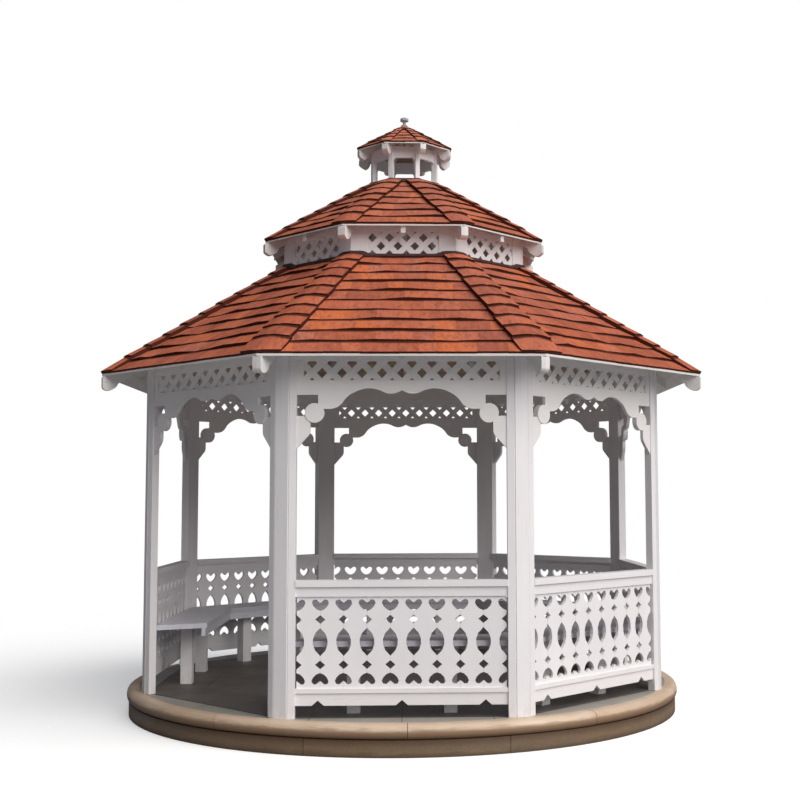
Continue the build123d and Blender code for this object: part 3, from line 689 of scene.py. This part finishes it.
def shingle_courses(name, tier, seed, material):
    """Every shingle of a tier, each a wedge: the butt down the slope, the top under the next course.

    Corners are (s, u): s runs up the slope from the eave, and u along it, cut at the hips where
    |u| = a(s)*tan(22.5 deg). Along a course the butt's thickness and its place s follow smooth
    waves, and each shingle adds a small step of its own.
    """
    random = np.random.default_rng(seed)
    length = (tier["eave_apothem"] - tier["top_apothem"]) / tier["cosine"]
    exposure = length / tier["courses"]
    narrow = tier["widths"][0]
    thin, stout = tier["butts"]
    rows = []
    for bay in range(SIDES):
        for course in range(tier["courses"]):
            start = course * exposure - (OVERHANG if course == 0 else 0.0)
            half = (tier["eave_apothem"] - start * tier["cosine"]) * HALF_BAY_TAN
            cuts = [-half + random.uniform(0.3, 1.0) * narrow]
            while cuts[-1] < half:
                cuts.append(cuts[-1] + random.uniform(*tier["widths"]))
            cuts = np.array([-half, *(c for c in cuts if c < half - narrow * 0.3), half])
            thickness, place = uneven(random, (1.3, 0.52, 0.27)), uneven(random, (1.3, 0.45, 0.21))
            share = np.clip(0.45 + 0.95 * thickness(cuts), 0.0, 1.0)
            thick = thin + (stout - thin) * share
            low = start + place(cuts) * (0.002 if course == 0 else 0.008)
            count = len(cuts) - 1
            step = random.uniform(-0.0022, 0.0022, count)
            rows.append(np.stack([
                np.full(count, bay), np.full(count, course), low[:-1] + step, low[1:] + step,
                np.full(count, min(start + HEAD_LAP * exposure, length)), cuts[:-1], cuts[1:],
                thick[:-1] + random.uniform(-0.001, 0.001, count),
                thick[1:] + random.uniform(-0.001, 0.001, count), random.random(count),
            ], -1))
    columns = np.concatenate(rows).T
    bay, course, low_left, low_right, high, left, right, thick_left, thick_right, tone = columns
    left, right = left + SHINGLE_GAP, right - SHINGLE_GAP

    def corner(s, u):
        apothem = tier["eave_apothem"] - s * tier["cosine"]
        limit = np.maximum(apothem * HALF_BAY_TAN, 0.004)
        return apothem, np.clip(u, -limit, limit)

    under = np.where(course == 0, -tier["cover"] * tier["cosine"], tier["surface"] - 0.0015)
    thick_left = np.where(course == 0, 0.4 * (thin + stout), thick_left)
    thick_right = np.where(course == 0, 0.4 * (thin + stout), thick_right)
    flush = np.full_like(under, tier["surface"])
    deep = flush - 0.0025
    spots = [corner(low_left, left), corner(low_right, right), corner(high, right), corner(high, left)]
    lifts = [under, under, deep, deep, flush + thick_left, flush + thick_right, flush, flush]
    points = [roof_point(bay, *spots[k % 4], lift, tier) for k, lift in enumerate(lifts)]
    count = len(tone)
    box = np.array([(0, 1, 5, 4), (3, 7, 6, 2), (0, 4, 7, 3), (1, 2, 6, 5), (4, 5, 6, 7), (0, 3, 2, 1)])
    faces = (box[None] + 8 * np.arange(count)[:, None, None]).reshape(-1, 4).tolist()
    # butt is 1 on the butt, head and underside and half on the sides, for the material's painted shade;
    # upward places its band of painted shade under each butt.
    return finish_piece(name, np.stack(points, 1).reshape(-1, 3), faces, material, {
        "tone": np.repeat(tone, 6), "butt": np.tile([1.0, 1.0, 0.5, 0.5, 0.0, 1.0], count),
        "upward": np.tile([0.0, 0.0, HEAD_LAP, HEAD_LAP] * 2, count),
    })


CAP_ACROSS = np.array([-1.0, -0.72, -0.48, -0.30, -0.14, 0.0, 0.14, 0.30, 0.48, 0.72, 1.0])
CAP_BEND = np.minimum(np.abs(CAP_ACROSS) / 0.5, 1.0)
CAP_DROOP = 1.0 - 0.04 * CAP_ACROSS ** 2 - 0.34 * (1.0 - CAP_BEND) ** 2
CAP_LAP, CAP_HEAD = 0.16, 0.62


def hip_caps(name, tier, seed, material):
    """Bent cap shingles up each hip, a grid of 11 across by 2 along, with an underside.

    P = hip(v) + |t|*q + lift(t)*n(t): t crosses the hip, q lies in the facet square to the hip, and
    n(t) turns from the one facet's normal over the hip's own to the other's, while the lift is
    less over the hip, which rounds the bend. The first cap is cut level with the eave; the others
    are cut square, where their outer corners meet the courses.
    """
    random = np.random.default_rng(seed)
    pitch = tier["pitch"]
    across = tier["eave_apothem"] - tier["top_apothem"]
    run, drop = across / np.cos(BAY / 2.0), across * pitch
    length = np.hypot(run, drop)
    down = np.array([run, 0.0, -drop]) / length
    lean = HALF_BAY_TAN * tier["cosine"]
    exposure = across / tier["cosine"] / tier["courses"]
    widest, narrowest = tier["cap_half"]

    def half_width(s):
        return widest + (narrowest - widest) * np.clip(s / length, 0.0, 1.0)

    starts = [0.0]
    for course in range(1, tier["courses"]):
        start = course * exposure * np.hypot(1.0, lean)
        starts.append(start + half_width(start) * lean)
    starts.append(length)
    outward, sideways = pitch * np.cos(BAY / 2.0), pitch * np.sin(BAY / 2.0)
    normals = {side: tier["cosine"] * np.array([outward, side * sideways, 1.0]) for side in (-1.0, 1.0)}
    ridge = normals[-1.0] + normals[1.0]
    ridge /= np.linalg.norm(ridge)
    n = len(CAP_ACROSS)
    offsets, lifts = [], []
    for t, bend in zip(CAP_ACROSS, CAP_BEND):
        side = np.sign(t) if t else 1.0
        aside = np.cross(normals[side], down)
        aside *= np.sign(aside[1]) * side
        normal = bend * normals[side] + (1.0 - bend) * ridge
        offsets.append(aside * abs(t))
        lifts.append(normal / np.linalg.norm(normal))
    offsets, lifts = np.array(offsets), np.array(lifts)
    foot = np.array([tier["eave_apothem"] / np.cos(BAY / 2.0), 0.0, tier["eave_z"]])
    shells, tones, upward = [], [], []
    for hip in range(SIDES):
        angle = (hip + 0.5) * BAY - np.pi / 2.0
        sine, cosine = np.sin(angle), np.cos(angle)
        turn = np.array([[cosine, -sine, 0.0], [sine, cosine, 0.0], [0.0, 0.0, 1.0]])
        for number, (start, following) in enumerate(zip(starts[:-1], starts[1:])):
            loose = random.uniform(0.95, 1.05)
            butt = tier["cap_butt"] * random.uniform(0.9, 1.1)
            end = min(following + CAP_LAP * exposure, length)
            level = np.abs(CAP_ACROSS) * half_width(start) * loose * lean
            if number == 0:
                first = start + level - OVERHANG
            else:
                shift = 0.25 * level * np.abs(CAP_ACROSS) + random.uniform(-0.006, 0.006) * CAP_ACROSS
                first = start + shift + random.uniform(-0.004, 0.004)
            low_lift = (0.5 if number == 0 else 1.0) * butt * CAP_DROOP
            grids = []
            for butt_lift, top_lift in ((-0.006, -0.008), (low_lift, CAP_HEAD * butt * CAP_DROOP)):
                for s, lift in ((first, butt_lift), (np.full(n, end), top_lift)):
                    wide = (half_width(s) * loose)[:, None]
                    lifted = lifts * np.broadcast_to(lift, n)[:, None]
                    grids.append(foot - down * s[:, None] + offsets * wide + lifted)
            shells.append(np.concatenate(grids) @ turn.T)
            tones.append(random.random())
            # upward runs to reach at the cap's head, so the material's painted shade band lies just under
            # the next cap's butt.
            reach = 1.05 * (end - start) / (following - start)
            upward.append(np.repeat([0.0, reach, 0.0, reach], n))
    low, high, top_low, top_high = (k * n for k in range(4))
    last = n - 1
    # kinds become butt: 1 on the underside, butt, head and sides, which the shingle material paints near
    # black as shade; 0 on the top.
    strip, kinds = [], []
    for c in range(last):
        strip += [(low + c, low + c + 1, high + c + 1, high + c),
                  (top_low + c, top_high + c, top_high + c + 1, top_low + c + 1),
                  (low + c, top_low + c, top_low + c + 1, low + c + 1),
                  (high + c, high + c + 1, top_high + c + 1, top_high + c)]
        kinds += [1.0, 0.0, 1.0, 1.0]
    strip += [(low, high, top_high, top_low), (low + last, top_low + last, top_high + last, high + last)]
    kinds += [1.0, 1.0]
    count = len(shells)
    faces = (np.array(strip)[None] + 4 * n * np.arange(count)[:, None, None]).reshape(-1, 4).tolist()
    return finish_piece(name, np.concatenate(shells), faces, material, {
        "tone": np.repeat(tones, len(strip)), "butt": np.tile(kinds, count),
        "upward": np.concatenate(upward),
    })


def carried_round(name, profile, material, stations=(-1.0,), hump=None):
    """Moulding mitred round the octagon: each profile point (apothem, z) runs along the 8 sides.

    Station q of a side is at u = q*apothem*tan(22.5 deg) from its middle; hump(q) is added to the
    height of each profile point in the share that the point's third number gives.
    """
    profile = np.asarray(profile, float)
    rise = profile[:, 2] if profile.shape[1] > 2 else np.zeros(len(profile))
    rings = []
    for bay in range(SIDES):
        out, along = bay_axes(bay)
        for q in stations:
            ring = profile[:, :1] * (out + q * HALF_BAY_TAN * along)
            ring[:, 2] = profile[:, 1] + rise * (hump(q) if hump else 0.0)
            rings.append(ring)
    m, n = len(profile), len(rings)
    station, point = np.meshgrid(np.arange(n), np.arange(m), indexing="ij")
    here, ahead, beside = station * m, (station + 1) % n * m, (point + 1) % m
    faces = np.stack([here + point, ahead + point, ahead + beside, here + beside], -1)
    return finish_piece(name, np.concatenate(rings), faces.reshape(-1, 4).tolist(), material)


DECK_BOARD = 0.13
GROOVE_HALF, GROOVE_DEPTH = 0.004, 0.006


def roof_deck(name, tier, material):
    """Boards under the shingles: a flat top, and an underside with a groove at each board's edge."""
    edge, inner = tier["eave_apothem"] - 0.003, tier["top_apothem"]
    top, under = tier["cover"], tier["thickness"]

    def spot(apothem, below):
        return apothem, roof_height(tier, apothem) - below

    outline = [spot(edge, top), spot(inner, top), spot(inner, under)]
    for a in np.arange(edge - 0.10, inner + 0.02, -DECK_BOARD)[::-1]:
        outline += [spot(a - GROOVE_HALF, under), spot(a, under - GROOVE_DEPTH),
                    spot(a + GROOVE_HALF, under)]
    outline.append(spot(edge, under))
    return carried_round(name, outline[::-1], material)


def deck_material(name, wall):
    """Roof boards: white paint from the wall's apothem to the eave, and bare brown timber within it, kept
    dark as painted shade under the roof.
    """
    material, tree, place = principled(name)
    bay = use_group(tree, bay_place, {"Place": place})
    grain_vector = along_grain(tree, bay, "Along")
    coat = use_group(tree, brushed, {
        "Grain Place": grain_vector, "Up": bay["Up"], "Paint": (0.80, 0.77, 0.74, 1.0),
        "Shade": (0.68, 0.64, 0.61, 1.0),
    })
    figured = stretched_noise(tree, grain_vector, (60.0, 60.0, 2.5), 4.0, 0.6)
    # Bare brown timber, kept dark as painted shade for the roof's underside within the wall.
    bare = mixed(tree, mapped(tree, figured, 0.35, 0.7), (0.63, 0.48, 0.35, 1.0), (0.37, 0.27, 0.19, 1.0))
    inside = mapped(tree, bay["Out"], wall - 0.012, wall + 0.012, 1.0, 0.0)
    roughness = mapped(tree, inside, 0.0, 1.0, 0.5, 0.8)
    cover(tree, mixed(tree, inside, coat["Colour"], bare), roughness, figured, 0.4, 0.0015)
    return material


SHINGLE_TONES = (
    (0.0, (0.391, 0.104, 0.057)), (0.20, (0.458, 0.117, 0.059)), (0.42, (0.539, 0.136, 0.065)),
    (0.62, (0.580, 0.162, 0.086)), (0.80, (0.701, 0.170, 0.055)), (0.92, (0.566, 0.183, 0.114)),
    (1.0, (0.472, 0.111, 0.055)),
)
BUTT_PAINTED_SHADE = (0.048, 0.011, 0.007, 1.0)
UNDER_BUTT_PAINTED_SHADE = (0.055, 0.012, 0.007, 1.0)


def shingle_material():
    """Red-brown shingle: each its own tone, streaked down the slope, butts painted dark as shade, paler
    higher up as painted haze.
    """
    material, tree, place = principled("red_shingle")
    bay = use_group(tree, bay_place, {"Place": place})
    facet = along_grain(tree, bay, "Out")
    drift = stretched_noise(tree, facet, (2.4, 3.2, 1.6), 2.0, 0.5)
    own = figure(tree, "MULTIPLY", attribute(tree, "tone"), 0.75)
    ramp = tree.nodes.new("ShaderNodeValToRGB")
    while len(ramp.color_ramp.elements) < len(SHINGLE_TONES):
        ramp.color_ramp.elements.new(0.5)
    for element, (position, colour) in zip(ramp.color_ramp.elements, SHINGLE_TONES):
        element.position = position
        element.color = (*colour, 1.0)
    connect(tree, ramp.inputs, {"Fac": figure(tree, "ADD", own, mapped(tree, drift, 0.3, 0.7, 0.0, 0.25))})
    patches = stretched_noise(tree, place, (1.4, 1.4, 2.0), 3.0, 0.5)
    streaks = stretched_noise(tree, facet, (60.0, 60.0, 5.0), 4.0, 0.7)
    mottle = stretched_noise(tree, facet, (16.0, 26.0, 8.0), 4.0, 0.65)
    granules = stretched_noise(tree, place, (210.0, 210.0, 210.0), 2.0, 0.7)
    shade_band_place = figure(tree, "ADD", attribute(tree, "upward"), mapped(tree, drift, 0.35, 0.65, -0.05, 0.04))
    colour = ramp.outputs["Color"]
    for factor, layer in (
        (mapped(tree, patches, 0.42, 0.72, 0.0, 0.30), (0.40, 0.16, 0.13, 1.0)),
        (mapped(tree, mottle, 0.48, 0.72, 0.0, 0.55), (0.155, 0.040, 0.026, 1.0)),
        (mapped(tree, mottle, 0.42, 0.24, 0.0, 0.45), (0.72, 0.25, 0.125, 1.0)),
        (mapped(tree, streaks, 0.5, 0.75, 0.0, 0.5), (0.13, 0.034, 0.024, 1.0)),
        (mapped(tree, granules, 0.5, 0.8, 0.0, 0.3), (0.56, 0.24, 0.16, 1.0)),
        # Painted haze: the shingles grow paler with height, from the upper roof to the cupola.
        (mapped(tree, bay["Up"], 3.7, 4.7, 0.0, 0.30), (0.62, 0.30, 0.22, 1.0)),
        # Painted shade: faces marked by butt turn near black, and a ragged band just under each butt, placed
        # by upward, darkens as well.
        (figure(tree, "MULTIPLY", attribute(tree, "butt"), 0.95), BUTT_PAINTED_SHADE),
        (mapped(tree, shade_band_place, 0.83, 0.945, 0.0, 0.93), UNDER_BUTT_PAINTED_SHADE),
    ):
        colour = mixed(tree, factor, colour, layer)
    height = figure(tree, "ADD", granules, figure(tree, "MULTIPLY", streaks, 1.4))
    cover(tree, colour, mapped(tree, granules, 0.3, 0.8, 0.75, 0.95), height, 0.6, 0.0015)
    tree.nodes["Principled BSDF"].inputs["Specular IOR Level"].default_value = 0.2
    return material


red_shingle = shingle_material()
DECK_WALLS = {"main": 1.97, "upper": 1.10, "cupola": 0.36}
for seed, (tier_name, tier) in enumerate(TIERS.items()):
    boarding = deck_material(f"{tier_name}_boarding", DECK_WALLS[tier_name])
    deck = roof_deck(f"{tier_name}_roof_boards", tier, boarding)
    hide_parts(f"{tier_name}_roof")
    shingle_courses(f"{tier_name}_roof_shingles", tier, 11 + seed, red_shingle)
    hip_caps(f"{tier_name}_hip_caps", tier, 31 + seed, red_shingle)


# Flashings: strips of red-brown lead dressed from the clerestory's foot and over the cupola's curb
# onto the shingles, and humped over the hip caps.
def lead_strip(name, tier, wall, rise, reach, hump, material, lid=0.0):
    """Strip carried round a wall's foot: up the wall by rise and down the slope by reach.

    Near a corner it rises over the hip caps by hump, in a smooth step between 60 and 78 percent
    of the half side. A lid of the given depth covers the wall's top.
    """
    def step(q):
        x = np.clip((abs(q) - 0.60) / 0.18, 0.0, 1.0)
        return hump * x * x * (3.0 - 2.0 * x)

    foot, edge = roof_height(tier, wall), roof_height(tier, wall + reach)
    top = foot + rise
    profile = [
        (wall + 0.001 - lid, top, 0.2), (wall + 0.001 - lid, top - 0.003, 0.2),
        (wall + 0.001, top - 0.003, 0.2), (wall + 0.001, foot + 0.001, 0.9),
        (wall + reach, edge - 0.002, 0.0), (wall + reach, edge + 0.005, 1.0),
        (wall + 0.008, foot + 0.006, 1.0), (wall + 0.004, top - 0.002, 0.4), (wall + 0.002, top, 0.2),
    ]
    if lid == 0.0:
        profile = profile[2:]
    stations = (-1.0, -0.90, -0.80, -0.74, -0.68, -0.60, -0.2, 0.2, 0.60, 0.68, 0.74, 0.80, 0.90)
    return carried_round(name, profile[::-1], material, stations, step)


def lead_material():
    """Painted lead: dull dark red-brown with paler worn ridges and runs down the slope."""
    material, tree, place = principled("flashing_lead")
    bay = use_group(tree, bay_place, {"Place": place})
    runs = stretched_noise(tree, along_grain(tree, bay, "Out"), (38.0, 38.0, 6.0), 3.0, 0.6)
    dents = stretched_noise(tree, place, (22.0, 22.0, 22.0), 3.0, 0.5)
    streaked = mapped(tree, runs, 0.35, 0.7)
    colour = mixed(tree, streaked, (0.050, 0.014, 0.010, 1.0), (0.085, 0.026, 0.020, 1.0))
    colour = mixed(tree, mapped(tree, dents, 0.6, 0.75, 0.0, 0.4), colour, (0.12, 0.06, 0.05, 1.0))
    cover(tree, colour, mapped(tree, dents, 0.3, 0.7, 0.55, 0.75), dents, 0.5, 0.002)
    return material


flashing = lead_material()
lead_strip("clerestory_flashing", TIERS["main"], CLERESTORY_OUTER, 0.009, 0.016, 0.024, flashing)
lead_strip("cupola_flashing", TIERS["upper"], CURB_OUTER, 0.016, 0.017, 0.010, flashing, 0.032)


# Clerestory: each short wall is made of painted boards at its corners, sill and head, nailed round
# a lattice of two layers of laths, like the friezes below it.
CLERESTORY_INNER = CLERESTORY_OUTER - 0.030
PANEL_OUTER = CLERESTORY_OUTER - 0.004
CLERESTORY_WINDOW = (0.277, 3.363, 3.540)
CLERESTORY_HEIGHTS = (3.240, 3.600)
CLERESTORY_PITCH, CLERESTORY_ROW, CLERESTORY_SHIFT = 0.132, 3.426, -0.042
CLERESTORY_LATH = 0.0438
half = CLERESTORY_OUTER * HALF_BAY_TAN - 0.0005
side_half, sill, head = CLERESTORY_WINDOW[0], *(FLOOR_LEVEL + z for z in CLERESTORY_WINDOW[1:])
low, high = (FLOOR_LEVEL + z for z in CLERESTORY_HEIGHTS)
panel_half = side_half - 0.002
boards = [
    (rectangle(-half, -side_half, low, high), CLERESTORY_OUTER, CLERESTORY_INNER, True),
    (rectangle(side_half, half, low, high), CLERESTORY_OUTER, CLERESTORY_INNER, True),
    (rectangle(-panel_half, panel_half, low, sill), PANEL_OUTER, CLERESTORY_INNER, False),
    (rectangle(-panel_half, panel_half, head, high), PANEL_OUTER, CLERESTORY_INNER, False),
]
window = (-side_half + 0.001, side_half - 0.001, sill - 0.003, head + 0.003)
meet = FLOOR_LEVEL + CLERESTORY_ROW + CLERESTORY_PITCH / 2.0
meets = [meet - turn * CLERESTORY_SHIFT for turn in (1.0, -1.0)]
boards += lath_layers(window, CLERESTORY_PITCH, CLERESTORY_LATH, meets, CLERESTORY_OUTER, (0.006, 0.013))
points, faces = sawn_pieces(boards, range(SIDES))
walls = finish_piece("clerestory_boards", points, faces, upright_paint)
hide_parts("clerestory_walls")
